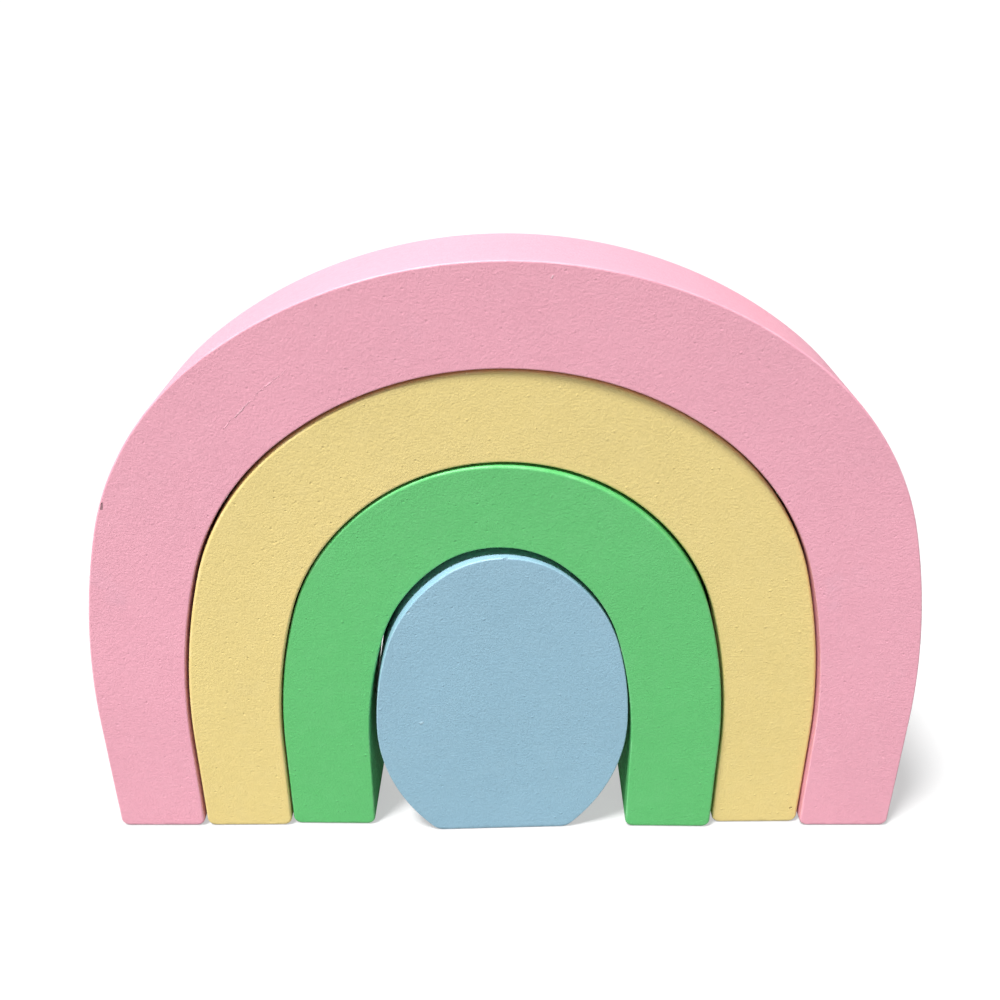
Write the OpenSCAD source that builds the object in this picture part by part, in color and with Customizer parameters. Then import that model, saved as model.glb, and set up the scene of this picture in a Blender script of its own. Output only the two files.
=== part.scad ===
// Rainbow stacker: three painted board arches nested over a flat-footed oval block.
// Every outline is set out with a compass, as crown, haunch and side arcs that run into one another.
// X is across the rainbow, Y runs from front to back, Z is up, and the floor is at zero.

/* [Board] */
// Thickness of the board, which is the depth of every piece
board = 18; // [14:0.5:24]
// Chamfer that eases the front and back edges
edge_ease = 0.6; // [0.3:0.1:0.9]
// Chamfer that takes the corners off the arches' feet
foot_ease = 1; // [0.7:0.1:1.6]
// Gap all round between one arch and the next
arch_gap = 0.5; // [0.5:0.1:1.5]

/* [Outside of the rainbow] */
// Radius of the side arcs
outer_side = 142.5; // [125:0.5:160]
// Radius of the haunch arcs
outer_haunch = 57.5; // [54:0.5:62]
// Radius of the crown arc
outer_crown = 81; // [77:0.5:86]
// Height of the straight legs
outer_leg = 25.5; // [20:0.5:32]

/* [Cut between the outer and middle arches] */
// Radius of the side arcs
first_side = 128; // [112:0.5:142]
// Radius of the haunch arcs
first_haunch = 49.5; // [46:0.5:53]
// Radius of the crown arc
first_crown = 58.5; // [55:0.5:62]
// Height of the straight legs
first_leg = 21; // [17:0.5:25]
// How far the cut lies to the left of the middle
first_left = 0.45; // [0:0.05:1]

/* [Cut between the middle and inner arches] */
// Radius of the side arcs
second_side = 104; // [92:0.5:116]
// Radius of the haunch arcs
second_haunch = 41.5; // [38:0.5:45]
// Radius of the crown arc
second_crown = 36.5; // [33:0.5:40]
// Height of the straight legs
second_leg = 20; // [16:0.5:24]
// How far the cut lies to the left of the middle
second_left = 0.55; // [0:0.05:1]

/* [Hollow of the inner arch] */
// Radius of the side arcs
hollow_side = 89; // [80:0.5:98]
// Radius of the haunch arcs
hollow_haunch = 29; // [26:0.5:32]
// Radius of the crown arc
hollow_crown = 17.5; // [15:0.5:20]
// Height of the straight legs
hollow_leg = 19; // [15:0.5:22]
// How far the hollow lies to the left of the middle
hollow_left = 0.8; // [0.3:0.05:1.2]

/* [Centre block] */
// Radius of the side arcs above the widest level
block_side = 63.5; // [58:0.5:70]
// Radius of the haunch arcs
block_haunch = 28.4; // [26:0.1:29]
// Radius of the crown arc
block_crown = 17.4; // [15:0.1:17.9]
// Height of the widest level
block_widest = 24.9; // [22:0.1:25.4]
// Radius of the sides where they draw in to the flat foot
block_foot_side = 34.4; // [32:0.1:42]

/* [How the pieces stand] */
// How far the middle arch stands back
middle_back = 0.5; // [0:0.1:2]
// Turn of the middle arch about the upright, right leg to the back, in degrees
middle_turn = 0.5; // [0:0.1:0.5]
// How far the inner arch stands back
inner_back = 0.1; // [0:0.1:2]
// Turn of the inner arch about the upright, right leg to the front, in degrees
inner_turn = 0.7; // [0:0.1:0.7]
// How far the centre block stands forward
block_forward = 0.7; // [0:0.1:2]
// How far the centre block stands to the right of the hollow's middle
block_right = 0.05; // [0:0.05:0.2]
// Turn of the centre block about the upright, right side to the back, in degrees
block_turn = 2; // [0:0.1:2]

/* [Hidden] */
$fn = 180;

// Directions of the seams between the arcs: a 24 by 7 triangle low down and a 3 by 4 triangle high up
level = [1, 0];
low_seam = [0.96, 0.28];
high_seam = [0.6, 0.8];
plumb = [0, 1];
// Longer than any piece, for what has to reach past its edges
reach = 2 * outer_side;
// How far a hollow runs out through the front, back and floor, and a side arc past the centre line
overrun = 2;

// A line is the radii of its side, haunch and crown arcs and the height of its straight legs
outer_line = [outer_side, outer_haunch, outer_crown, outer_leg];
first_line = [first_side, first_haunch, first_crown, first_leg];
second_line = [second_side, second_haunch, second_crown, second_leg];
hollow_line = [hollow_side, hollow_haunch, hollow_crown, hollow_leg];
block_line = [block_side, block_haunch, block_crown, block_widest];

// Half width of a line at its legs, from arcs that meet on the centre line
function half_width(line) =
    line[0] * (level.x - low_seam.x) + line[1] * (low_seam.x - high_seam.x) + line[2] * high_seam.x;
// Height of a line at its crown
function height(line) = line[3]
    + line[0] * low_seam.y + line[1] * (high_seam.y - low_seam.y) + line[2] * (plumb.y - high_seam.y);
// Centres of a line's right-hand arcs and of its crown arc
function side_centre(line) = [half_width(line) - line[0], line[3]];
function haunch_centre(line) = side_centre(line) + (line[0] - line[1]) * low_seam;
function crown_centre(line) = [0, height(line) - line[2]];
// A line moved in or out by a distance, with the centres of its arcs kept
function offset_line(line, out) = [line[0] + out, line[1] + out, line[2] + out, line[3]];

// Half section through the board, out to a given distance, with its edges eased
module solid_section(out) {
    front = board / 2;
    polygon([
        [0, -front], [out - edge_ease, -front], [out, edge_ease - front],
        [out, front - edge_ease], [out - edge_ease, front], [0, front]
    ]);
}

// Half section of a hollow, flared through the board's faces by the ease of its edges
module hollow_section(out) {
    face = board / 2 + overrun;
    mouth = out + edge_ease + overrun;
    wall = board / 2 - edge_ease;
    polygon([[0, -face], [mouth, -face], [out, -wall], [out, wall], [mouth, face], [0, face]]);
}

// A half together with its mirror image
module both_halves() {
    children();
    mirror([1, 0, 0]) children();
}

// Part of a turned section that lies in the outline given as its second child
module turned(centre) {
    intersection() {
        translate(centre) rotate_extrude() children(0);
        linear_extrude(2 * board, center = true) children(1);
    }
}

// Outline between two directions from a centre, on the right of the centre line
module wedge(centre, first, last) {
    intersection() {
        translate(centre) polygon([[0, 0], reach * first, reach * (first + last), reach * last]);
        translate([-overrun, -reach]) square(2 * reach);
    }
}

// Outline between the high seam and its mirror image, across the centre line
module crown_wedge(centre) {
    translate(centre) polygon([[0, 0], reach * high_seam, reach * [-high_seam.x, high_seam.y]]);
}

// Arcs of the solid inside a line, lying on its back
module solid_arcs(line) {
    both_halves() {
        turned(side_centre(line)) {
            solid_section(line[0]);
            wedge(side_centre(line), level, low_seam);
        }
        turned(haunch_centre(line)) {
            solid_section(line[1]);
            wedge(haunch_centre(line), low_seam, high_seam);
        }
    }
    turned(crown_centre(line)) {
        solid_section(line[2]);
        crown_wedge(crown_centre(line));
    }
}

// Arcs of the hollow inside a line, lying on its back
module hollow_arcs(line) {
    both_halves() {
        turned(side_centre(line)) {
            hollow_section(line[0]);
            wedge(side_centre(line), level, low_seam);
        }
        turned(haunch_centre(line)) {
            hollow_section(line[1]);
            wedge(haunch_centre(line), low_seam, high_seam);
        }
    }
    turned(crown_centre(line)) {
        hollow_section(line[2]);
        crown_wedge(crown_centre(line));
    }
}

// Straight part of a line between its legs, from its arcs down to a depth below them
module straight(line, depth) {
    translate([0, line[3]]) rotate([90, 0, 0]) linear_extrude(depth) both_halves() children();
}

// Solid inside a line, from its crown to its feet
module solid(line) {
    solid_arcs(line);
    straight(line, line[3]) solid_section(half_width(line));
}

// Hollow inside a line, from its crown to below its feet
module hollow(line) {
    hollow_arcs(line);
    straight(line, line[3] + overrun) hollow_section(half_width(line));
}

// Long square bar along X, turned to ease an edge by a chamfer
module easing_bar(ease) {
    side = ease * sqrt(2);
    rotate([45, 0, 0]) cube([reach, side, side], center = true);
}

// What eases the front and back edges of a foot
module foot_edges() {
    for (face = [-board / 2, board / 2])
        translate([0, 0, face]) easing_bar(edge_ease);
}

// What takes the corners off the feet at the legs of a line
module foot_corners(line) {
    both_halves() translate([half_width(line), 0, 0]) rotate([0, 90, 0]) easing_bar(foot_ease);
}

// Arch between an outside line and an inside line, which lies to the left of it, standing on its feet
module arch(outside, inside, left) {
    rotate([90, 0, 0]) difference() {
        solid(outside);
        translate([-left, 0, 0]) hollow(inside);
        foot_edges();
        foot_corners(outside);
        translate([-left, 0, 0]) foot_corners(inside);
    }
}

module outer_arch() {
    color("#eba9b8") arch(outer_line, offset_line(first_line, arch_gap / 2), first_left);
}

module middle_arch() {
    outside = offset_line(first_line, -arch_gap / 2);
    inside = offset_line(second_line, arch_gap / 2);
    color("#e8d28b") translate([-first_left, middle_back, 0]) rotate([0, 0, middle_turn])
        arch(outside, inside, second_left - first_left);
}

module inner_arch() {
    outside = offset_line(second_line, -arch_gap / 2);
    color("#68c579") translate([-second_left, inner_back, 0]) rotate([0, 0, -inner_turn])
        arch(outside, hollow_line, hollow_left - second_left);
}

// The oval block lying on its back, before its foot is cut flat
module oval() {
    foot_centre = [half_width(block_line) - block_foot_side, block_line[3]];
    solid_arcs(block_line);
    both_halves() turned(foot_centre) {
        solid_section(block_foot_side);
        wedge(foot_centre, -plumb, level);
    }
}

module centre_block() {
    place = [block_right - hollow_left, -block_forward, 0];
    color("#97bdd0") translate(place) rotate([0, 0, block_turn]) rotate([90, 0, 0]) difference() {
        oval();
        translate([-reach / 2, -reach, -board]) cube([reach, reach, 2 * board]);
        foot_edges();
    }
}

outer_arch();
middle_arch();
inner_arch();
centre_block();
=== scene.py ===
"""Looks of the rainbow stacker: three painted board arches nested over a flat-footed oval block.

Every outline is set out with a compass, as side, haunch and crown arcs that run into one another. A piece is
drawn as chains of edges in the plane of its front face, filled, given the depth of the board, crowned on its
walls inside the nest, eased along its edges, stood in its place and painted.
"""

import logging
import math
from contextlib import contextmanager
from dataclasses import dataclass, field
from enum import Enum
from typing import Callable, Iterator

import bmesh
import bpy
from mathutils import Euler, Matrix, Vector


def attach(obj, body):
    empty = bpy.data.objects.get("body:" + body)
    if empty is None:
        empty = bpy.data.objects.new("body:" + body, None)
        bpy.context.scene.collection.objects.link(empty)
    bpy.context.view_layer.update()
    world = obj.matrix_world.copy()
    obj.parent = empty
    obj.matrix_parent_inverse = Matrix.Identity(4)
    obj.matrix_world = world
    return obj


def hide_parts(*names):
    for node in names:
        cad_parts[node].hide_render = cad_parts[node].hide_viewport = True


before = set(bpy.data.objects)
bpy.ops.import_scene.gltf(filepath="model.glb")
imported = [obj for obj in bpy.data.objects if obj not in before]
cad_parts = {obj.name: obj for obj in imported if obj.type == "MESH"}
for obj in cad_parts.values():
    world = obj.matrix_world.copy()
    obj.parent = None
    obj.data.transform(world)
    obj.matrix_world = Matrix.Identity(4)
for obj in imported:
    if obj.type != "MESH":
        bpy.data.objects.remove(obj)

logging.basicConfig(level=logging.INFO, format="%(message)s")
log = logging.getLogger("rainbow")

# One millimetre, in metres
MM = 0.001
# Thickness of the board, in millimetres
BOARD = 18.0
# Cuts across a wall that lies in the nest, which let it be crowned
CROWN_CUTS = 3
# Edges across an eased edge
EASING_STEPS = 6
# Points closer than this are one point, in millimetres
WELD = 0.01
# Slack in finding the points on a cut, in millimetres
SLACK = 0.1
# How far a normal lies along the depth of the board, at least, on the front and back faces
CAP_NORMAL = 0.9
# Height of a point inside every hollow, in millimetres
NEST_HEART = 25.0
# Faces that meet at less than this are shaded as one round, in degrees
ROUND_ANGLE = 32.0
# Height of the nibs in the paint, in millimetres
NIB_HEIGHT = 0.095
# Directions of the seams from side to haunch and from haunch to crown
LOW_SEAM = (0.96, 0.28)
HIGH_SEAM = (0.6, 0.8)
SIDE_ANGLE = math.atan2(LOW_SEAM[1], LOW_SEAM[0])
HAUNCH_ANGLE = math.atan2(HIGH_SEAM[1], HIGH_SEAM[0]) - SIDE_ANGLE
CROWN_ANGLE = math.pi - 2 * math.atan2(HIGH_SEAM[1], HIGH_SEAM[0])

Colour = tuple[float, float, float]
Place = tuple[float, float, float]


class Pick(Enum):
    """What is selected in edit mode."""

    POINTS = "VERT"
    EDGES = "EDGE"


class EdgeKind(Enum):
    """The edges of a piece that are eased by different amounts."""

    OUTSIDE = "outside"
    HOLLOW = "hollow"
    FOOT = "foot"


@dataclass(frozen=True)
class CompassLine:
    """A symmetrical outline of straight legs, side arcs, haunch arcs and a crown arc, in millimetres.

    Attributes:
        side: Radius of the side arcs.
        haunch: Radius of the haunch arcs.
        crown: Radius of the crown arc.
        leg: Height of the straight legs.
    """

    side: float
    haunch: float
    crown: float
    leg: float

    @property
    def half_width(self) -> float:
        """Half the width between the legs."""
        return (self.side * (1 - LOW_SEAM[0]) + self.haunch * (LOW_SEAM[0] - HIGH_SEAM[0])
                + self.crown * HIGH_SEAM[0])

    @property
    def height(self) -> float:
        """Height of the crown above the floor."""
        return (self.leg + self.side * LOW_SEAM[1] + self.haunch * (HIGH_SEAM[1] - LOW_SEAM[1])
                + self.crown * (1 - HIGH_SEAM[1]))

    @property
    def side_centre(self) -> tuple[float, float]:
        """Centre of the right-hand side arc."""
        return self.half_width - self.side, self.leg

    @property
    def haunch_centre(self) -> tuple[float, float]:
        """Centre of the right-hand haunch arc."""
        x, z = self.side_centre
        return x + (self.side - self.haunch) * LOW_SEAM[0], z + (self.side - self.haunch) * LOW_SEAM[1]

    @property
    def crown_centre(self) -> tuple[float, float]:
        """Centre of the crown arc."""
        return 0.0, self.height - self.crown

    def moved_out(self, distance: float) -> "CompassLine":
        """The same line moved outwards by a distance, with the centres of its arcs kept."""
        return CompassLine(self.side + distance, self.haunch + distance, self.crown + distance, self.leg)


OUTER_LINE = CompassLine(side=142.5, haunch=57.5, crown=81.0, leg=25.5)
FIRST_CUT = CompassLine(side=128.0, haunch=49.5, crown=58.5, leg=21.0)
SECOND_CUT = CompassLine(side=104.0, haunch=41.5, crown=36.5, leg=20.0)
HOLLOW_LINE = CompassLine(side=89.0, haunch=29.0, crown=17.5, leg=19.0)
BLOCK_LINE = CompassLine(side=63.5, haunch=28.4, crown=17.4, leg=24.9)


@dataclass(frozen=True)
class Steps:
    """Number of edges in each stroke of a chain.

    Attributes:
        corner: Edges in the round corner of a foot.
        leg: Edges in a straight leg.
        side: Edges in a side arc.
        haunch: Edges in a haunch arc.
        crown: Edges in each half of the crown arc.
    """

    corner: int = 8
    leg: int = 8
    side: int = 26
    haunch: int = 30
    crown: int = 36


class Pencil:
    """Draws chains of edges in edit mode, in the plane of the boards' front faces."""

    def __init__(self, middle: float = 0.0) -> None:
        """Keeps where the drawing's centre line is.

        Args:
            middle: Place of the centre line to the right, in millimetres.
        """
        self.middle = middle
        self.depth = -BOARD / 2

    def start(self, x: float, z: float) -> None:
        """Sets the point down as a small plane merged to its middle.

        Args:
            x: Place to the right, in millimetres.
            z: Height, in millimetres.
        """
        bpy.ops.mesh.select_all(action="DESELECT")
        place = ((self.middle + x) * MM, self.depth * MM, z * MM)
        bpy.ops.mesh.primitive_plane_add(size=MM, location=place)
        bpy.ops.mesh.merge(type="CENTER")

    def straight(self, dx: float, dz: float, steps: int) -> None:
        """Draws a straight stroke from the selected end.

        Args:
            dx: Run to the right, in millimetres.
            dz: Run upwards, in millimetres.
            steps: Number of edges.
        """
        move = {"value": (dx * MM / steps, 0.0, dz * MM / steps)}
        for _ in range(steps):
            bpy.ops.mesh.extrude_region_move(TRANSFORM_OT_translate=move)

    def arc(self, centre: tuple[float, float], angle: float, steps: int) -> None:
        """Draws an arc from the selected end, anticlockwise as seen from the front, or clockwise if negative.

        Args:
            centre: Centre of the arc, in millimetres.
            angle: Angle of the arc, in radians.
            steps: Number of edges.
        """
        pivot = ((self.middle + centre[0]) * MM, self.depth * MM, centre[1] * MM)
        bpy.ops.mesh.spin(steps=steps, angle=angle, center=pivot, axis=(0.0, 1.0, 0.0))

    def up(self, line: CompassLine, steps: Steps) -> None:
        """Draws a line's arcs from its right-hand leg up to its crown.

        Args:
            line: The line to draw.
            steps: Number of edges in each stroke.
        """
        self.arc(line.side_centre, SIDE_ANGLE, steps.side)
        self.arc(line.haunch_centre, HAUNCH_ANGLE, steps.haunch)
        self.arc(line.crown_centre, CROWN_ANGLE / 2, steps.crown)

    def down(self, line: CompassLine, steps: Steps) -> None:
        """Draws a line's arcs from its crown down to its left-hand leg.

        Args:
            line: The line to draw.
            steps: Number of edges in each stroke.
        """
        haunch_x, haunch_z = line.haunch_centre
        side_x, side_z = line.side_centre
        self.arc(line.crown_centre, CROWN_ANGLE / 2, steps.crown)
        self.arc((-haunch_x, haunch_z), HAUNCH_ANGLE, steps.haunch)
        self.arc((-side_x, side_z), SIDE_ANGLE, steps.side)


def select_only(piece: bpy.types.Object) -> None:
    """Makes a piece the only selected object, and the active one.

    Args:
        piece: The object to select.
    """
    bpy.ops.object.select_all(action="DESELECT")
    piece.select_set(True)
    bpy.context.view_layer.objects.active = piece


@contextmanager
def edit_mode(piece: bpy.types.Object) -> Iterator[None]:
    """Opens a piece in edit mode, and leaves it again.

    Args:
        piece: The object to open.
    """
    select_only(piece)
    bpy.ops.object.mode_set(mode="EDIT")
    bpy.ops.mesh.select_mode(type=Pick.POINTS.value)
    try:
        yield
    finally:
        bpy.ops.object.mode_set(mode="OBJECT")


def select(piece: bpy.types.Object, what: Pick,
           wanted: Callable[[bmesh.types.BMVert | bmesh.types.BMEdge], bool]) -> int:
    """Selects the points or edges of a piece in edit mode that pass a test, and no others.

    Args:
        piece: The object in edit mode.
        what: Whether points or edges are selected.
        wanted: Says whether a point or an edge is selected.

    Returns:
        How many are selected.
    """
    bpy.ops.mesh.select_mode(type=what.value)
    bpy.ops.mesh.select_all(action="DESELECT")
    mesh = bmesh.from_edit_mesh(piece.data)
    chosen = [part for part in (mesh.verts if what is Pick.POINTS else mesh.edges) if wanted(part)]
    for part in chosen:
        part.select_set(True)
    mesh.select_flush_mode()
    bmesh.update_edit_mesh(piece.data)
    return len(chosen)


def apply_modifier(piece: bpy.types.Object, kind: str, **settings: object) -> None:
    """Adds a modifier to a piece and applies it.

    Args:
        piece: The object to change.
        kind: Blender's name for the modifier type.
        **settings: Values of the modifier.
    """
    select_only(piece)
    modifier = piece.modifiers.new(kind.lower(), kind)
    for name, value in settings.items():
        setattr(modifier, name, value)
    bpy.ops.object.modifier_apply(modifier=modifier.name)


@dataclass(frozen=True)
class Easing:
    """How far the edges of a piece are eased, in millimetres.

    Attributes:
        outside: Edges along the outside line.
        hollow: Edges along the line of the hollow.
        foot: Front and back edges of the feet.
        corner: Radius of the corners of the feet, across the board.
        crown: How far the sawn walls inside the nest are crowned by sanding.
        shape: Profile of the easing, where 0.5 is round and more is squarer.
    """

    outside: float
    hollow: float
    foot: float
    corner: float
    crown: float = 0.2
    shape: float = 0.5

    def widest(self) -> float:
        """The largest easing along an edge."""
        return max(self.outside, self.hollow, self.foot)


class NodeBench:
    """Puts nodes into a tree, row by row from left to right, and links them."""

    NODES_A_ROW = 12
    NODE_WIDTH = 180
    NODE_HEIGHT = 260

    def __init__(self, tree: bpy.types.NodeTree) -> None:
        """Keeps the tree.

        Args:
            tree: The node tree to fill.
        """
        self.tree = tree
        self.count = 0

    def add(self, kind: str, inputs: dict[str | int, object] | None = None,
            **settings: object) -> bpy.types.Node:
        """Adds a node, sets its values and links the sockets given as inputs.

        Args:
            kind: Blender's name for the node type.
            inputs: Values or output sockets by input name or number.
            **settings: Properties of the node.

        Returns:
            The new node.
        """
        node = self.tree.nodes.new(kind)
        row, column = divmod(self.count, self.NODES_A_ROW)
        node.location = (self.NODE_WIDTH * column, -self.NODE_HEIGHT * row)
        self.count += 1
        for name, value in settings.items():
            setattr(node, name, value)
        for key, value in (inputs or {}).items():
            if isinstance(value, bpy.types.NodeSocket):
                self.tree.links.new(value, node.inputs[key])
            else:
                node.inputs[key].default_value = value
        return node

    def math(self, operation: str, first: object, second: object = 0.0,
             clamp: bool = False) -> bpy.types.NodeSocket:
        """Adds a Math node.

        Args:
            operation: Blender's name for the operation.
            first: First value or socket.
            second: Second value or socket.
            clamp: Whether the result is held between 0 and 1.

        Returns:
            The result.
        """
        node = self.add("ShaderNodeMath", {0: first, 1: second}, operation=operation, use_clamp=clamp)
        return node.outputs[0]

    def noise(self, vector: bpy.types.NodeSocket, scale: object, detail: float = 2.0,
              rough: float = 0.5) -> bpy.types.NodeSocket:
        """Adds a noise texture.

        Args:
            vector: Where the noise is read.
            scale: Lumps in a metre.
            detail: Octaves of detail.
            rough: Strength of each octave against the one before.

        Returns:
            The noise, from 0 to 1.
        """
        node = self.add("ShaderNodeTexNoise", {"Vector": vector, "Scale": scale, "Detail": detail,
                                               "Roughness": rough})
        return node.outputs["Fac"]

    def ramp(self, value: object, low: object, high: object, start: object = 0.0,
             end: object = 1.0) -> bpy.types.NodeSocket:
        """Adds a smooth Map Range node.

        Args:
            value: The value to map.
            low: Value that gives the start.
            high: Value that gives the end.
            start: Result at the low value.
            end: Result at the high value.

        Returns:
            The mapped value.
        """
        node = self.add("ShaderNodeMapRange", {"Value": value, "From Min": low, "From Max": high,
                                               "To Min": start, "To Max": end},
                        interpolation_type="SMOOTHSTEP")
        return node.outputs["Result"]

    def mix(self, factor: object, first: object, second: object) -> bpy.types.NodeSocket:
        """Adds a colour Mix node.

        Args:
            factor: How much of the second colour.
            first: First colour or socket.
            second: Second colour or socket.

        Returns:
            The mixed colour.
        """
        node = self.add("ShaderNodeMix", {"Factor": factor}, data_type="RGBA")
        for key, value in (("A", first), ("B", second)):
            socket = next(s for s in node.inputs if s.name == key and s.type == "RGBA")
            if isinstance(value, bpy.types.NodeSocket):
                self.tree.links.new(value, socket)
            else:
                socket.default_value = (*value, 1.0)
        return next(s for s in node.outputs if s.type == "RGBA")


def new_group(name: str, takes: dict[str, float | None],
              gives: list[str]) -> tuple[bpy.types.NodeTree, NodeBench, dict[str, bpy.types.NodeSocket]]:
    """Makes an empty shader node group with named sockets.

    Args:
        name: Name of the group.
        takes: Inputs by name, with a first value for a number and None for a vector.
        gives: Names of the outputs.

    Returns:
        The group, a bench to fill it and its input sockets by name.
    """
    tree = bpy.data.node_groups.new(name, "ShaderNodeTree")
    for key, value in takes.items():
        kind = "NodeSocketVector" if value is None else "NodeSocketFloat"
        socket = tree.interface.new_socket(key, in_out="INPUT", socket_type=kind)
        if value is not None:
            socket.default_value = value
    for key in gives:
        tree.interface.new_socket(key, in_out="OUTPUT", socket_type="NodeSocketFloat")
    bench = NodeBench(tree)
    entry = bench.add("NodeGroupInput")
    return tree, bench, {key: entry.outputs[key] for key in takes}


def relief_group() -> bpy.types.NodeTree:
    """Builds the relief that a roller leaves in paint: fine grain, with nibs and pits scattered over it.

    Returns:
        A group that gives the height of the relief and the tone of its grain, which runs from 0 to 1.
    """
    least_reach, most_reach = 0.1, 0.3
    nibs_from, pits_from = 0.45, 0.6
    nib_height, grain_height, lump_height = 0.6, 0.5, 0.25
    lumps_to_grain = 0.4
    lump_tone, grain_tone = 0.7, 0.3
    darkest, lightest = 0.32, 0.68
    tree, bench, given = new_group("roller_relief", {"Vector": None, "Nibs": 800.0, "Grain": 2700.0},
                                   ["Height", "Tone"])
    cells = bench.add("ShaderNodeTexVoronoi", {"Vector": given["Vector"], "Scale": given["Nibs"]})
    chance = bench.add("ShaderNodeSeparateColor", {0: cells.outputs["Color"]}).outputs
    reach = bench.ramp(chance[2], 0.0, 1.0, least_reach, most_reach)
    bump = bench.ramp(cells.outputs["Distance"], 0.0, reach, 1.0, 0.0)
    nibs = bench.math("MULTIPLY", bump, bench.ramp(chance[0], nibs_from, 1.0))
    pits = bench.math("MULTIPLY", bump, bench.ramp(chance[1], pits_from, 1.0))
    grain = bench.noise(given["Vector"], given["Grain"], detail=1.0)
    lumps = bench.noise(given["Vector"], bench.math("MULTIPLY", given["Grain"], lumps_to_grain), detail=2.0)
    scattered = bench.math("MULTIPLY", bench.math("SUBTRACT", nibs, pits), nib_height)
    rolled = bench.math("ADD", bench.math("MULTIPLY", grain, grain_height),
                        bench.math("MULTIPLY", lumps, lump_height))
    mottled = bench.math("ADD", bench.math("MULTIPLY", lumps, lump_tone),
                         bench.math("MULTIPLY", grain, grain_tone))
    tone = bench.ramp(mottled, darkest, lightest)
    bench.add("NodeGroupOutput", {"Height": bench.math("ADD", scattered, rolled), "Tone": tone})
    return tree


def wear_and_highlight_group() -> bpy.types.NodeTree:
    """Builds the broken paleness along the eased edges, which is partly rubbed wear and partly a painted
    highlight.

    Returns:
        A group that gives how pale an edge is painted, as wear and painted highlight, from 0 to 1.
    """
    patch_scale = 260.0
    plain_edge, palest_edge = 0.4, 0.75
    tree, bench, given = new_group("edge_wear_and_highlight", {"Vector": None, "Rim": 0.0, "Amount": 0.5}, ["RubbedAndHighlit"])
    patches = bench.noise(given["Vector"], patch_scale, detail=3.0, rough=0.6)
    rubbed_and_highlit = bench.math("MULTIPLY", bench.ramp(patches, plain_edge, palest_edge), given["Rim"])
    bench.add("NodeGroupOutput", {"RubbedAndHighlit": bench.math("MULTIPLY", rubbed_and_highlit, given["Amount"], clamp=True)})
    return tree


def foot_contact_shade_group() -> bpy.types.NodeTree:
    """Builds the painted contact shade: a thin dark line along the bottom of the feet, where they stand on
    the floor.

    Returns:
        A group that gives the painted shade, from 0 to 1.
    """
    wobble_scale, wobble_middle = 500.0, 0.5
    full_shade, no_shade = 0.1, 1.0
    tree, bench, given = new_group("foot_contact_shade", {"Vector": None, "Height": 0.9 * MM}, ["PaintedShade"])
    up = bench.add("ShaderNodeSeparateXYZ", {0: given["Vector"]}).outputs["Z"]
    ragged = bench.math("SUBTRACT", bench.noise(given["Vector"], wobble_scale, detail=3.0), wobble_middle)
    share = bench.math("ADD", bench.math("DIVIDE", up, given["Height"]), ragged)
    bench.add("NodeGroupOutput", {"PaintedShade": bench.ramp(share, full_shade, no_shade, 1.0, 0.0)})
    return tree


def mark_group() -> bpy.types.NodeTree:
    """Builds one ragged mark along the X axis of the vector that it is given.

    Returns:
        A group that gives the mark, from 0 to 1.
    """
    wander_scale, wander_middle = 700.0, 0.5
    full_width, no_width = 0.4, 1.0
    full_length, no_length = 0.35, 0.5
    full_depth, no_depth = 1.5 * MM, 2.5 * MM
    gap_scale, gap_edge = 1100.0, 0.05
    tree, bench, given = new_group("ragged_mark", {"Vector": None, "Length": 4.0 * MM, "Width": 0.3 * MM,
                                                   "Ragged": 0.3 * MM, "Broken": 0.0}, ["Mark"])
    parts = bench.add("ShaderNodeSeparateXYZ", {0: given["Vector"]}).outputs
    wander = bench.math("SUBTRACT", bench.noise(given["Vector"], wander_scale, detail=3.0, rough=0.6),
                        wander_middle)
    across = bench.math("ADD", parts["Z"], bench.math("MULTIPLY", wander, given["Ragged"]))
    aside = bench.math("DIVIDE", bench.math("ABSOLUTE", across), given["Width"])
    wide = bench.ramp(aside, full_width, no_width, 1.0, 0.0)
    far = bench.math("DIVIDE", bench.math("ABSOLUTE", parts["X"]), given["Length"])
    body = bench.math("MULTIPLY", wide, bench.ramp(far, full_length, no_length, 1.0, 0.0))
    deep = bench.ramp(bench.math("ABSOLUTE", parts["Y"]), full_depth, no_depth, 1.0, 0.0)
    gaps = bench.noise(given["Vector"], gap_scale, detail=1.0)
    kept = bench.ramp(bench.math("SUBTRACT", gaps, given["Broken"]), -gap_edge, gap_edge)
    whole = bench.math("MULTIPLY", bench.math("MULTIPLY", body, deep), kept)
    bench.add("NodeGroupOutput", {"Mark": whole})
    return tree


GROUP_MAKERS: dict[str, Callable[[], bpy.types.NodeTree]] = {
    "roller_relief": relief_group,
    "edge_wear_and_highlight": wear_and_highlight_group,
    "foot_contact_shade": foot_contact_shade_group,
    "ragged_mark": mark_group,
}


def shared_group(name: str) -> bpy.types.NodeTree:
    """Gives a shader node group, made the first time that it is asked for.

    Args:
        name: Name of the group.

    Returns:
        The group.
    """
    return bpy.data.node_groups.get(name) or GROUP_MAKERS[name]()


@dataclass(frozen=True)
class Mark:
    """A scratch, nick or scuff in the paint.

    Attributes:
        place: Middle of the mark, in millimetres.
        length: Length, in millimetres.
        width: Half width, in millimetres.
        turn: Slope of the mark, in degrees.
        colour: Colour that shows in it.
        strength: How much of that colour shows.
        relief: How far it stands out of the paint, or less than 0 into it, in nib heights.
        ragged: How far it wanders to either side, in millimetres.
        broken: How much of it is missing, from 0 to 1.
    """

    place: Place
    length: float
    width: float
    turn: float
    colour: Colour
    strength: float = 1.0
    relief: float = 0.0
    ragged: float = 0.3
    broken: float = 0.0


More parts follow.
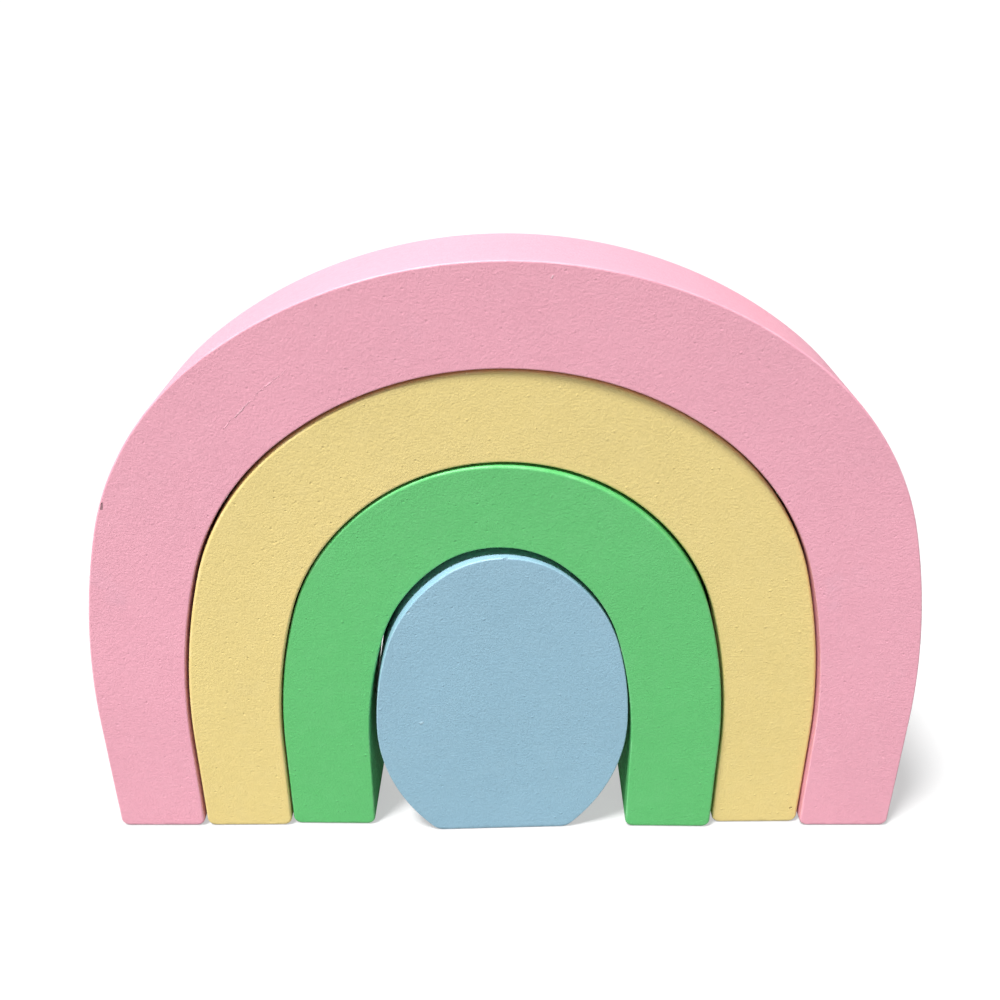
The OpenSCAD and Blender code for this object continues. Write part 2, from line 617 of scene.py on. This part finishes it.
@dataclass(frozen=True)
class PaintFinish:
    """Satin paint rolled on board.

    Attributes:
        slot: The record's material slot, which names the material too.
        colour: Colour of the paint.
        rubbed_and_highlit: Colour of the paint along an eased edge, both where it is rubbed and as a painted
            highlight.
        marks: Scratches, nicks and scuffs.
        smudge: Colour of the handling smudges.
        smudged: How much of the smudges shows.
        stipple: How strongly the roller's stipple stands out, in nib heights.
        edge_rub_and_highlight: How much of that pale colour shows along the edges, as wear and painted
            highlight.
        foot_shade: How much of the painted contact shade shows along the bottom of the feet.
        foot_shade_darkness: How dark the painted contact shade is against the paint.
        cloud_shades: Darkest and lightest shade of the cloudiness.
        grain_shade: Shade of the light spots in the grain.
        grain: How much of that shade shows.
        roughness: Roughness of the dark and the light spots in the grain.
        bending: How strongly the paint bends light, as a refractive index.
    """

    slot: str
    colour: Colour
    rubbed_and_highlit: Colour
    marks: tuple[Mark, ...] = ()
    smudge: Colour = (0.5, 0.45, 0.5)
    smudged: float = 0.1
    stipple: float = 1.2
    edge_rub_and_highlight: float = 0.45
    foot_shade: float = 0.55
    foot_shade_darkness: float = 0.45
    cloud_shades: tuple[float, float] = (0.975, 1.02)
    grain_shade: float = 1.06
    grain: float = 0.6
    roughness: tuple[float, float] = (0.5, 0.42)
    bending: float = 1.46

    def material(self) -> bpy.types.Material:
        """Builds the paint.

        Returns:
            The material.
        """
        material = bpy.data.materials.new(self.slot)
        material.use_nodes = True
        material.node_tree.nodes.clear()
        bench = NodeBench(material.node_tree)
        where = bench.add("ShaderNodeTexCoord").outputs["Object"]
        rim = bench.add("ShaderNodeAttribute", attribute_name="rim").outputs["Fac"]
        relief = self._group(bench, "roller_relief", Vector=where).outputs
        colour = self._paint(bench, where, relief["Tone"])
        # Pale paint along every eased edge: partly rubbed wear, partly a painted highlight
        worn_and_highlit = self._group(bench, "edge_wear_and_highlight", Vector=where, Rim=rim, Amount=self.edge_rub_and_highlight).outputs
        colour = bench.mix(worn_and_highlit["RubbedAndHighlit"], colour, self.rubbed_and_highlit)
        # Painted contact shade: the paint is darkened along the bottom of the feet, where they meet the floor
        foot_shade = self._group(bench, "foot_contact_shade", Vector=where).outputs
        foot_shaded = bench.math("MULTIPLY", foot_shade["PaintedShade"], self.foot_shade)
        colour = bench.mix(foot_shaded, colour, self._shade(self.foot_shade_darkness))
        colour, height = self._marked(bench, where, colour, relief["Height"])
        bump = bench.add("ShaderNodeBump", {"Strength": 1.0, "Distance": self.stipple * NIB_HEIGHT * MM,
                                            "Height": height})
        satin = bench.ramp(relief["Tone"], 0.0, 1.0, *self.roughness)
        shader = bench.add("ShaderNodeBsdfPrincipled", {"Base Color": colour, "IOR": self.bending,
                                                        "Roughness": satin, "Normal": bump.outputs["Normal"]})
        bench.add("ShaderNodeOutputMaterial", {"Surface": shader.outputs["BSDF"]})
        return material

    @staticmethod
    def _group(bench: NodeBench, group: str, **inputs: object) -> bpy.types.Node:
        """Places a shared node group.

        Args:
            bench: Where the node goes.
            group: Name of the group.
            **inputs: Values or sockets by input name.

        Returns:
            The group's node.
        """
        return bench.add("ShaderNodeGroup", inputs, node_tree=shared_group(group))

    def _shade(self, factor: float) -> Colour:
        """The paint's colour made lighter or darker."""
        return tuple(min(1.0, channel * factor) for channel in self.colour)

    def _paint(self, bench: NodeBench, where: bpy.types.NodeSocket,
               tone: bpy.types.NodeSocket) -> bpy.types.NodeSocket:
        """Builds the colour of the paint with its grain, cloudiness and smudges.

        Args:
            bench: Where the nodes go.
            where: Object coordinates.
            tone: The tone of the grain.

        Returns:
            The colour.
        """
        cloud_scale, cloud_low, cloud_high = 55.0, 0.3, 0.7
        hand_scale, hand_low, hand_high = 95.0, 0.6, 0.78
        darker, lighter = self.cloud_shades
        clouds = bench.ramp(bench.noise(where, cloud_scale, detail=3.0, rough=0.55), cloud_low, cloud_high)
        colour = bench.mix(clouds, self._shade(darker), self._shade(lighter))
        colour = bench.mix(bench.math("MULTIPLY", tone, self.grain), colour, self._shade(self.grain_shade))
        hands = bench.ramp(bench.noise(where, hand_scale, detail=4.0, rough=0.62), hand_low, hand_high)
        return bench.mix(bench.math("MULTIPLY", hands, self.smudged), colour, self.smudge)

    def _marked(self, bench: NodeBench, where: bpy.types.NodeSocket, colour: bpy.types.NodeSocket,
                height: bpy.types.NodeSocket) -> tuple[bpy.types.NodeSocket, bpy.types.NodeSocket]:
        """Adds the marks to the colour and the relief.

        Args:
            bench: Where the nodes go.
            where: Object coordinates.
            colour: The colour of the paint.
            height: The relief of the paint.

        Returns:
            The colour and the relief with their marks.
        """
        for mark in self.marks:
            place = [length * MM for length in mark.place]
            slope = (0.0, -math.radians(mark.turn), 0.0)
            local = bench.add("ShaderNodeMapping", {"Vector": where, "Location": place, "Rotation": slope},
                              vector_type="TEXTURE").outputs["Vector"]
            drawn = self._group(bench, "ragged_mark", Vector=local, Length=mark.length * MM,
                                Width=mark.width * MM, Ragged=mark.ragged * MM,
                                Broken=mark.broken).outputs["Mark"]
            colour = bench.mix(bench.math("MULTIPLY", drawn, mark.strength), colour, mark.colour)
            if mark.relief:
                height = bench.math("ADD", height, bench.math("MULTIPLY", drawn, mark.relief))
        return colour, height


@dataclass
class BoardPiece:
    """A piece cut from the board, eased along its edges and painted.

    Attributes:
        name: Name of the piece.
        node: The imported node, and the body, that the piece stands for.
        easing: How far its edges are eased.
        finish: Its paint.
        shift: Place of the piece's middle along X and Y, in millimetres.
        turn: Turn of the piece about the upright, in degrees.
        in_nest: The kinds of edge whose walls lie inside the nest.
        steps: Number of edges in the strokes of its outline.
    """

    name: str
    node: str
    easing: Easing
    finish: PaintFinish
    shift: tuple[float, float] = (0.0, 0.0)
    turn: float = 0.0
    in_nest: frozenset[EdgeKind] = frozenset({EdgeKind.OUTSIDE, EdgeKind.HOLLOW})
    steps: Steps = field(default_factory=Steps)

    def build(self) -> None:
        """Models and paints the piece, and joins it to the frame."""
        piece = self._blank()
        self._draw_face(piece)
        self._give_depth(piece)
        self._crown_walls(piece)
        self._ease_edges(piece)
        self._stand(piece)
        self._note_rims(piece)
        self._smooth(piece)
        self._dress(piece)

    def _blank(self) -> bpy.types.Object:
        """Makes an empty mesh object at the origin, from a plane whose faces are taken away.

        Returns:
            The empty object.
        """
        bpy.ops.object.select_all(action="DESELECT")
        bpy.ops.mesh.primitive_plane_add(size=MM)
        piece = bpy.context.active_object
        piece.name = self.name
        piece.data.name = self.name
        with edit_mode(piece):
            bpy.ops.mesh.delete(type="VERT")
        return piece

    def _draw_face(self, piece: bpy.types.Object) -> None:
        """Draws and fills the front face.

        Args:
            piece: The empty object.
        """
        raise NotImplementedError

    def edge_kind(self, wall: bmesh.types.BMFace) -> EdgeKind:
        """Says which kind of edge a wall of the piece has at the front and the back.

        Args:
            wall: A face that runs through the depth of the board.

        Returns:
            The kind of edge.
        """
        middle = wall.calc_center_median()
        if middle.z < 2 * self.easing.corner * MM:
            return EdgeKind.FOOT
        outwards = Vector((middle.x, 0.0, middle.z - NEST_HEART * MM))
        return EdgeKind.OUTSIDE if outwards.dot(wall.normal) > 0 else EdgeKind.HOLLOW

    def _give_depth(self, piece: bpy.types.Object) -> None:
        """Extrudes the front face through the board and closes the solid.

        Args:
            piece: The object with its front face.
        """
        with edit_mode(piece):
            bpy.ops.mesh.select_all(action="SELECT")
            bpy.ops.mesh.extrude_region_move(TRANSFORM_OT_translate={"value": (0.0, BOARD * MM, 0.0)})
            bpy.ops.mesh.select_all(action="SELECT")
            bpy.ops.mesh.remove_doubles(threshold=WELD * MM)
            bpy.ops.mesh.normals_make_consistent(inside=False)

    def _crown_walls(self, piece: bpy.types.Object) -> None:
        """Crowns the walls that lie in the nest, as sanding leaves them, fullest half way through the board.

        Args:
            piece: The solid object.
        """
        def runs_through(edge: bmesh.types.BMEdge) -> bool:
            """Whether an edge runs through the depth of the board."""
            return abs(edge.verts[0].co.y - edge.verts[1].co.y) > 0.5 * BOARD * MM

        def crowned(vertex: bmesh.types.BMVert, level: float) -> bool:
            """Whether a point lies on a cut at a level, in a crowned wall above the corners of the feet."""
            kinds = {self.edge_kind(face) for face in vertex.link_faces}
            on_cut = abs(vertex.co.y - level) < SLACK * MM
            return on_cut and vertex.co.z > 2 * self.easing.corner * MM and kinds <= self.in_nest

        with edit_mode(piece):
            select(piece, Pick.EDGES, runs_through)
            bpy.ops.mesh.subdivide(number_cuts=CROWN_CUTS)
            for cut in range(1, CROWN_CUTS + 1):
                # Place of the cut, from -1 at the front face to 1 at the back
                across = 2 * cut / (CROWN_CUTS + 1) - 1
                level = 0.5 * BOARD * MM * across
                select(piece, Pick.POINTS, lambda vertex: crowned(vertex, level))
                bpy.ops.transform.shrink_fatten(value=self.easing.crown * MM * (1 - across ** 2))

    def _ease_edges(self, piece: bpy.types.Object) -> None:
        """Eases the front and back edges, each kind by its own amount.

        Args:
            piece: The solid object.
        """
        widths = {EdgeKind.OUTSIDE: self.easing.outside, EdgeKind.HOLLOW: self.easing.hollow,
                  EdgeKind.FOOT: self.easing.foot}

        def wall_of(edge: bmesh.types.BMEdge) -> bmesh.types.BMFace | None:
            """The wall beside an edge of the front or back face, if it is one."""
            if len(edge.link_faces) != 2:
                return None
            caps = [abs(face.normal.y) > CAP_NORMAL for face in edge.link_faces]
            return edge.link_faces[caps.index(False)] if caps.count(True) == 1 else None

        def across_cap(edge: bmesh.types.BMEdge) -> bool:
            """Whether an edge runs across the front or back face."""
            return all(abs(face.normal.y) > CAP_NORMAL for face in edge.link_faces)

        def is_of(edge: bmesh.types.BMEdge, kind: EdgeKind) -> bool:
            """Whether an edge of the front or back face is of a kind."""
            wall = wall_of(edge)
            return wall is not None and self.edge_kind(wall) is kind

        with edit_mode(piece):
            select(piece, Pick.EDGES, across_cap)
            bpy.ops.mesh.dissolve_edges(use_verts=False)
            for kind in EdgeKind:
                if select(piece, Pick.EDGES, lambda edge: is_of(edge, kind)):
                    bpy.ops.transform.edge_bevelweight(value=widths[kind] / self.easing.widest())
        apply_modifier(piece, "BEVEL", width=self.easing.widest() * MM, segments=EASING_STEPS,
                       limit_method="WEIGHT", profile=self.easing.shape, use_clamp_overlap=False)
        with edit_mode(piece):
            bpy.ops.mesh.select_all(action="DESELECT")
            bpy.ops.mesh.select_face_by_sides(number=4, type="GREATER", extend=False)
            bpy.ops.mesh.quads_convert_to_tris(quad_method="BEAUTY", ngon_method="BEAUTY")
            bpy.ops.mesh.tris_convert_to_quads()

    def _stand(self, piece: bpy.types.Object) -> None:
        """Turns and shifts the piece to where it stands, and puts its place into its mesh.

        Args:
            piece: The eased object.
        """
        select_only(piece)
        piece.rotation_euler = (0.0, 0.0, math.radians(self.turn))
        piece.location = (self.shift[0] * MM, self.shift[1] * MM, 0.0)
        bpy.ops.object.transform_apply(location=True, rotation=True, scale=True)

    def _note_rims(self, piece: bpy.types.Object) -> None:
        """Keeps how far each point lies on an eased edge, from 0 on a flat to 1 in the middle of the easing.

        Args:
            piece: The standing object.
        """
        mesh = piece.data
        facing = Vector((math.sin(math.radians(self.turn)), -math.cos(math.radians(self.turn)), 0.0))
        halfway = math.pi / 4
        rim = mesh.attributes.new("rim", "FLOAT", "POINT")
        for vertex in mesh.vertices:
            slope = math.acos(min(1.0, abs(vertex.normal.dot(facing))))
            rim.data[vertex.index].value = max(0.0, 1.0 - abs(slope / halfway - 1.0))

    def _smooth(self, piece: bpy.types.Object) -> None:
        """Shades the rounds smoothly and keeps the flats flat.

        Args:
            piece: The standing object.
        """
        select_only(piece)
        bpy.ops.object.shade_smooth_by_angle(angle=math.radians(ROUND_ANGLE))
        apply_modifier(piece, "WEIGHTED_NORMAL", mode="FACE_AREA", weight=100, keep_sharp=True)

    def _dress(self, piece: bpy.types.Object) -> None:
        """Paints the piece and joins it to the frame.

        Args:
            piece: The finished mesh.
        """
        piece.data.materials.clear()
        piece.data.materials.append(self.finish.material())
        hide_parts(self.node)
        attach(piece, self.node)
        log.info("%s: %d faces", self.name, len(piece.data.polygons))


@dataclass
class Arch(BoardPiece):
    """An arch between an outside line and the line of its hollow.

    Attributes:
        outside: The outside line.
        hollow: The line of the hollow.
        hollow_left: How far the hollow lies to the left of the outside, in millimetres.
    """

    outside: CompassLine = OUTER_LINE
    hollow: CompassLine = HOLLOW_LINE
    hollow_left: float = 0.0

    def _draw_face(self, piece: bpy.types.Object) -> None:
        """Draws both lines from foot to foot and bridges them.

        Args:
            piece: The empty object.
        """
        with edit_mode(piece):
            self._draw_line(self.outside, 0.0, -self.easing.corner)
            self._draw_line(self.hollow, self.hollow_left, self.easing.corner)
            bpy.ops.mesh.select_all(action="SELECT")
            bpy.ops.mesh.bridge_edge_loops()

    def _draw_line(self, line: CompassLine, left: float, corner: float) -> None:
        """Draws a line from foot to foot, with the corners of the feet rounded.

        Args:
            line: The line to draw.
            left: How far its middle lies to the left, in millimetres.
            corner: How far the foot's flat starts outside the leg, in millimetres, and less than 0 inside it.
        """
        pencil = Pencil(-left)
        middle = line.half_width + corner
        straight = line.leg - abs(corner)
        turn = -math.copysign(math.pi / 2, corner)
        pencil.start(middle, 0.0)
        pencil.arc((middle, abs(corner)), turn, self.steps.corner)
        pencil.straight(0.0, straight, self.steps.leg)
        pencil.up(line, self.steps)
        pencil.down(line, self.steps)
        pencil.straight(0.0, -straight, self.steps.leg)
        pencil.arc((-middle, abs(corner)), turn, self.steps.corner)


@dataclass
class OvalBlock(BoardPiece):
    """The flat-footed oval in the middle.

    Attributes:
        line: The line over the top, whose legs start at the widest level.
        foot_side: Radius of the sides where they draw in to the foot, in millimetres.
    """

    line: CompassLine = BLOCK_LINE
    foot_side: float = 34.4

    def _draw_face(self, piece: bpy.types.Object) -> None:
        """Draws the right and left halves of the oval and fills it in strips between them.

        Args:
            piece: The empty object.
        """
        corner = self.easing.corner
        centre = self.line.half_width - self.foot_side
        drop = self.line.leg - corner
        run = math.sqrt((self.foot_side - corner) ** 2 - drop ** 2)
        draw_in = math.atan2(drop, run)
        with edit_mode(piece):
            pencil = Pencil()
            pencil.start(centre + run, 0.0)
            pencil.arc((centre + run, corner), math.pi / 2 - draw_in, self.steps.corner)
            pencil.arc((centre, self.line.leg), draw_in, self.steps.side)
            pencil.up(self.line, self.steps)
            pencil.start(0.0, self.line.height)
            pencil.down(self.line, self.steps)
            pencil.arc((-centre, self.line.leg), draw_in, self.steps.side)
            pencil.arc((-centre - run, corner), math.pi / 2 - draw_in, self.steps.corner)
            bpy.ops.mesh.select_all(action="SELECT")
            bpy.ops.mesh.bridge_edge_loops()
            bpy.ops.mesh.select_all(action="SELECT")
            bpy.ops.mesh.remove_doubles(threshold=WELD * MM)

    def edge_kind(self, wall: bmesh.types.BMFace) -> EdgeKind:
        """Says which kind of edge a wall has: a foot underneath, and an outside all round.

        Args:
            wall: A face that runs through the depth of the board.

        Returns:
            The kind of edge.
        """
        low = wall.calc_center_median().z < self.easing.corner * MM
        return EdgeKind.FOOT if low else EdgeKind.OUTSIDE


@dataclass(frozen=True)
class Studio:
    """A plain pale floor, soft light and the camera.

    Attributes:
        camera_place: Place of the camera, in millimetres.
        camera_pitch: How far the camera looks down, in degrees.
        camera_yaw: How far the camera looks to the right, in degrees.
        camera_roll: How far the camera leans to the left, in degrees.
        focal: Focal length, in millimetres.
        sensor: Width of the sensor, in millimetres.
        nearest: Nearest distance that the camera sees, in metres.
        floor_size: Width of the floor, in metres.
        floor_drop: How far the floor lies under the feet, in millimetres.
        floor_tone: How much light the floor gives back.
        floor_glow: How much paler the floor is to the eye.
        key_from: Direction towards the key light.
        key_spread: Width of the key light as seen from the pieces, in degrees.
        key_strength: Strength of the key light.
        back_from: Direction towards the light behind.
        back_spread: Width of the light behind as seen from the pieces, in degrees.
        back_strength: Strength of the light behind.
        sky: Strength of the even light from all round.
        fill_place: Place of the low fill light in front, in millimetres.
        fill_size: Width and height of the fill light, in metres.
        fill_strength: Strength of the fill light.
        backdrop: How pale the room is to the eye.
    """

    camera_place: Place = (-1.463, -162.269, 149.457)
    camera_pitch: float = 26.902
    camera_yaw: float = 0.16
    camera_roll: float = 0.104
    focal: float = 37.44
    sensor: float = 36.0
    nearest: float = 0.005
    floor_size: float = 60.0
    floor_drop: float = 0.05
    floor_tone: float = 0.3
    floor_glow: float = 0.5
    key_from: Place = (-0.29, -0.263, 0.92)
    key_spread: float = 12.0
    key_strength: float = 5.7
    back_from: Place = (-0.2, 0.96, 0.2)
    back_spread: float = 24.0
    back_strength: float = 0.75
    sky: float = 0.22
    fill_place: Place = (-65.0, -160.0, 7.0)
    fill_size: tuple[float, float] = (0.4, 0.014)
    fill_strength: float = 0.086
    backdrop: float = 1.1

    def build(self) -> None:
        """Sets up the floor, the lights and the camera."""
        self._floor()
        self._light()
        self._camera()
        bpy.context.scene.view_settings.view_transform = "Standard"

    def _floor(self) -> None:
        """Lays a floor that runs far out of sight."""
        bpy.ops.object.select_all(action="DESELECT")
        bpy.ops.mesh.primitive_plane_add(size=self.floor_size, location=(0.0, 0.0, -self.floor_drop * MM))
        floor = bpy.context.active_object
        floor.name = "floor"
        material = bpy.data.materials.new("pale_floor")
        material.use_nodes = True
        material.node_tree.nodes.clear()
        bench = NodeBench(material.node_tree)
        grey = (self.floor_tone, self.floor_tone, self.floor_tone, 1.0)
        matt = bench.add("ShaderNodeBsdfDiffuse", {"Color": grey})
        seen = bench.add("ShaderNodeLightPath").outputs["Is Camera Ray"]
        glow = bench.add("ShaderNodeEmission", {"Strength": bench.math("MULTIPLY", seen, self.floor_glow)})
        both = bench.add("ShaderNodeAddShader", {0: matt.outputs[0], 1: glow.outputs[0]})
        bench.add("ShaderNodeOutputMaterial", {"Surface": both.outputs[0]})
        floor.data.materials.append(material)

    def _light(self) -> None:
        """Hangs a soft key light at the front left, a weak one behind and a low fill in front."""
        world = bpy.data.worlds.new("studio")
        world.use_nodes = True
        world.node_tree.nodes.clear()
        bench = NodeBench(world.node_tree)
        seen = bench.add("ShaderNodeLightPath").outputs["Is Camera Ray"]
        strength = bench.ramp(seen, 0.0, 1.0, self.sky, self.backdrop)
        even = bench.add("ShaderNodeBackground", {"Color": (1.0, 1.0, 1.0, 1.0), "Strength": strength})
        bench.add("ShaderNodeOutputWorld", {"Surface": even.outputs[0]})
        bpy.context.scene.world = world
        self._sun("key", self.key_from, self.key_strength, self.key_spread, glints=True)
        self._sun("back", self.back_from, self.back_strength, self.back_spread, glints=False)
        strip = bpy.data.lights.new("fill", "AREA")
        strip.shape = "RECTANGLE"
        strip.size, strip.size_y = self.fill_size
        strip.energy = self.fill_strength
        fill = bpy.data.objects.new("fill", strip)
        fill.location = [length * MM for length in self.fill_place]
        fill.rotation_euler = (math.radians(90), 0.0, 0.0)
        fill.visible_camera = False
        bpy.context.scene.collection.objects.link(fill)

    @staticmethod
    def _sun(name: str, towards: Place, strength: float, spread: float, glints: bool) -> None:
        """Hangs a soft light far away.

        Args:
            name: Name of the light.
            towards: Direction towards the light.
            strength: Strength of the light.
            spread: Width of the light as seen from the pieces, in degrees.
            glints: Whether the paint mirrors it.
        """
        lamp = bpy.data.lights.new(name, "SUN")
        lamp.angle = math.radians(spread)
        lamp.energy = strength
        light = bpy.data.objects.new(name, lamp)
        light.rotation_euler = Vector(towards).to_track_quat("Z", "Y").to_euler()
        light.visible_glossy = glints
        bpy.context.scene.collection.objects.link(light)

    def _camera(self) -> None:
        """Puts the camera at the photograph's viewing angle."""
        lens = bpy.data.cameras.new("camera")
        lens.sensor_fit = "HORIZONTAL"
        lens.sensor_width = self.sensor
        lens.lens = self.focal
        lens.clip_start = self.nearest
        camera = bpy.data.objects.new("camera", lens)
        camera.location = [length * MM for length in self.camera_place]
        level = Euler((math.radians(90 - self.camera_pitch), 0.0, -math.radians(self.camera_yaw))).to_matrix()
        lean = Matrix.Rotation(math.radians(self.camera_roll), 3, "Z")
        camera.rotation_euler = (level @ lean).to_euler()
        bpy.context.scene.collection.objects.link(camera)
        bpy.context.scene.camera = camera


# Gap all round between one arch and the next, in millimetres
ARCH_GAP = 0.5
# How far the cuts and the hollow lie to the left of the middle, in millimetres
FIRST_LEFT = 0.45
SECOND_LEFT = 0.55
HOLLOW_LEFT = 0.8
# How far the pieces stand back, forward and to the right, in millimetres
MIDDLE_BACK = 0.5
INNER_BACK = 0.1
BLOCK_FORWARD = 0.7
BLOCK_RIGHT = 0.05
# Turns of the pieces about the upright, right side to the back, in degrees
MIDDLE_TURN = 0.5
INNER_TURN = -0.7
BLOCK_TURN = 2.0

# Colours in the marks: bare board where the paint is knocked off, grime, a dent's shade and thin paint; the
# pale colours also give the painted highlight and the wear along the eased edges
BARE_BOARD: Colour = (0.09, 0.06, 0.06)
BROWN_SPECK: Colour = (0.3, 0.2, 0.06)
DENT_SHADE: Colour = (0.1, 0.17, 0.22)
PALE_PINK: Colour = (0.9, 0.6, 0.66)
PALE_YELLOW: Colour = (0.88, 0.78, 0.48)
PALE_GREEN: Colour = (0.35, 0.72, 0.4)
PALE_BLUE: Colour = (0.5, 0.68, 0.76)

PINK = PaintFinish(
    slot="pink_paint", colour=(0.8, 0.367, 0.458), rubbed_and_highlit=PALE_PINK,
    marks=(
        # A long broken scratch in three strokes
        Mark(place=(-41.9, -9.0, 87.7), length=4.6, width=0.13, turn=46.0, colour=PALE_PINK, strength=0.4,
             relief=1.1, ragged=0.9, broken=0.35),
        Mark(place=(-37.0, -9.0, 92.2), length=7.5, width=0.1, turn=38.0, colour=PALE_PINK, strength=0.25,
             relief=0.8, ragged=1.2, broken=0.45),
        Mark(place=(-44.5, -9.0, 85.2), length=2.4, width=0.1, turn=52.0, colour=PALE_PINK, strength=0.25,
             relief=0.8, ragged=0.9, broken=0.45),
        # A hair in the paint at the crown
        Mark(place=(6.7, -9.0, 109.0), length=0.7, width=0.14, turn=60.0, colour=PALE_PINK, strength=0.8,
             relief=0.7),
        # Nicks in the outside edges
        Mark(place=(-67.0, -9.0, 70.4), length=1.6, width=0.2, turn=76.0, colour=BARE_BOARD, strength=0.7,
             relief=-1.0, ragged=0.6),
        Mark(place=(70.7, -9.0, 61.1), length=0.7, width=0.2, turn=-80.0, colour=BARE_BOARD, strength=0.7,
             relief=-1.0, ragged=0.5)),
    smudge=(0.6, 0.42, 0.55), smudged=0.12)
YELLOW = PaintFinish(
    slot="yellow_paint", colour=(0.76, 0.603, 0.231), rubbed_and_highlit=PALE_YELLOW,
    marks=(
        # A speck at the right foot
        Mark(place=(56.0, -8.0, 3.6), length=0.6, width=0.22, turn=20.0, colour=BROWN_SPECK, strength=0.7,
             relief=-1.0),),
    smudge=(0.5, 0.42, 0.22), stipple=1.4)
GREEN = PaintFinish(
    slot="green_paint", colour=(0.108, 0.5, 0.153), rubbed_and_highlit=PALE_GREEN,
    smudge=(0.08, 0.36, 0.12))
BLUE = PaintFinish(
    slot="blue_paint", colour=(0.269, 0.456, 0.572), rubbed_and_highlit=PALE_BLUE,
    marks=(
        # A scuff low on the left, a dent in the top edge and a nick in the left edge
        Mark(place=(-15.4, -10.2, 26.3), length=0.9, width=0.3, turn=30.0, colour=PALE_BLUE, strength=0.5,
             relief=1.0),
        Mark(place=(-0.1, -9.7, 60.8), length=0.9, width=0.14, turn=4.0, colour=DENT_SHADE, strength=0.6,
             relief=-1.0),
        Mark(place=(-16.9, -10.2, 50.4), length=0.8, width=0.22, turn=48.0, colour=PALE_BLUE, strength=0.5,
             relief=-1.0, ragged=0.5)),
    smudge=(0.2, 0.36, 0.46))

PIECES: tuple[BoardPiece, ...] = (
    Arch("pink_outer_arch", "outer_arch", Easing(outside=0.35, hollow=0.25, foot=0.45, corner=1.6), PINK,
         in_nest=frozenset({EdgeKind.HOLLOW}), hollow=FIRST_CUT.moved_out(ARCH_GAP / 2),
         hollow_left=FIRST_LEFT),
    Arch("yellow_middle_arch", "middle_arch", Easing(outside=0.6, hollow=0.4, foot=0.45, corner=1.6), YELLOW,
         shift=(-FIRST_LEFT, MIDDLE_BACK), turn=MIDDLE_TURN, outside=FIRST_CUT.moved_out(-ARCH_GAP / 2),
         hollow=SECOND_CUT.moved_out(ARCH_GAP / 2), hollow_left=SECOND_LEFT - FIRST_LEFT),
    Arch("green_inner_arch", "inner_arch", Easing(outside=0.45, hollow=0.3, foot=0.45, corner=1.6), GREEN,
         shift=(-SECOND_LEFT, INNER_BACK), turn=INNER_TURN, outside=SECOND_CUT.moved_out(-ARCH_GAP / 2),
         hollow=HOLLOW_LINE, hollow_left=HOLLOW_LEFT - SECOND_LEFT),
    OvalBlock("blue_centre_block", "centre_block", Easing(outside=0.25, hollow=0.25, foot=0.25, corner=2.8),
              BLUE, shift=(BLOCK_RIGHT - HOLLOW_LEFT, -BLOCK_FORWARD), turn=BLOCK_TURN),
)


def main() -> None:
    """Builds the pieces from the outside in, then the studio."""
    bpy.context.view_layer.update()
    for piece in PIECES:
        piece.build()
    Studio().build()


if __name__ == "__main__":
    main()
